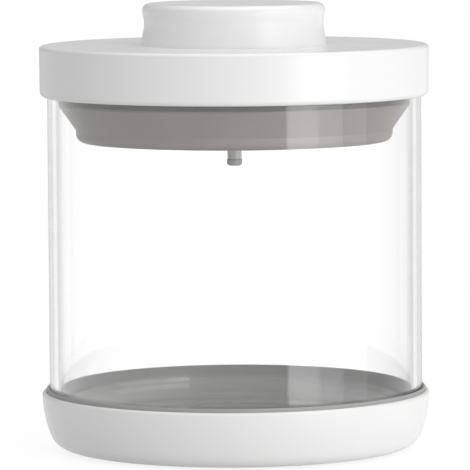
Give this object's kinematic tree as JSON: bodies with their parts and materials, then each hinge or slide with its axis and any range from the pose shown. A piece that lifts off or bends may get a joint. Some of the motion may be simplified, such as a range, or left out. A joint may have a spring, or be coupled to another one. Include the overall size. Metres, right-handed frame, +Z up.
{
  "type": "vacuum seal canister",
  "caption": "Clear round food jar in a white base cup, with a white lid whose turning knob works a hidden hand pump and holds a release button.",
  "frame": {"origin": "on the table, in the middle of the ring that the base cup stands on", "axes": "+Z runs up the axis of the jar, -Y is the side that the picture shows, +X is to its right"},
  "size_m": [0.15, 0.15, 0.1717],
  "materials": {
    "white_plastic": "glossy moulded",
    "clear_glass": "clear, polished",
    "taupe_plastic": "satin moulded",
    "inner_plastic": "plain moulded",
    "tube_plastic": "smooth moulded",
    "washer_plastic": "slippery, plain",
    "liner_rubber": "soft, matt",
    "grey_rubber": "soft, matt",
    "dark_rubber": "soft, smooth",
    "flap_rubber": "thin, translucent",
    "valve_rubber": "soft, smooth",
    "filter_felt": "pressed fibre",
    "screw_steel": "zinc plated",
    "pin_steel": "ground",
    "spring_steel": "drawn"
  },
  "bodies": {
    "base": {"base_shell": "white_plastic", "foot_ring": "grey_rubber", "base_liner": "liner_rubber"},
    "jar": {"jar": "clear_glass"},
    "lid": {"lid_cover": "white_plastic", "pump_housing": "taupe_plastic", "jar_seal": "dark_rubber", "filter_disc": "filter_felt", "intake_flap": "flap_rubber", "vent_tube": "tube_plastic", "chamber_cover": "inner_plastic", "cover_screws": "screw_steel", "lid_screws": "screw_steel", "bearing_washer": "washer_plastic"},
    "piston": {"piston": "inner_plastic", "piston_seal": "dark_rubber", "exhaust_flap": "flap_rubber", "flap_clamp": "inner_plastic", "piston_rod": "inner_plastic", "rod_clip": "spring_steel", "tube_seal": "dark_rubber", "drive_pins": "pin_steel"},
    "knob": {"knob": "white_plastic", "cam_sleeve": "inner_plastic", "knob_screws": "screw_steel", "retaining_ring": "spring_steel"},
    "button": {"release_button": "white_plastic", "release_stem": "pin_steel", "vent_valve": "valve_rubber", "button_spring": "spring_steel"}
  },
  "joints": [
    {"name": "jar_lift", "type": "slide", "parent": "base", "child": "jar", "axis": [0, 0, 1], "range_m": [0, 0.03]},
    {"name": "lid_lift", "type": "slide", "parent": "jar", "child": "lid", "axis": [0, 0, 1], "range_m": [0, 0.08]},
    {"name": "knob_turn", "type": "hinge", "parent": "lid", "child": "knob", "pos_m": [0, 0, 0.16], "axis": [0, 0, 1], "range_deg": [0, 120]},
    {"name": "piston_lift", "type": "slide", "parent": "lid", "child": "piston", "axis": [0, 0, 1], "range_m": [0, 0.01]},
    {"name": "button_press", "type": "slide", "parent": "knob", "child": "button", "axis": [0, 0, -1], "range_m": [0, 0.0025], "stiffness_N_per_m": 500, "springref_m": -0.002, "deforming": ["button_spring"]}
  ],
  "couplings": [
    {"joint": "piston_lift", "follows": "knob_turn", "m_per_rad": 0.004774}
  ]
}
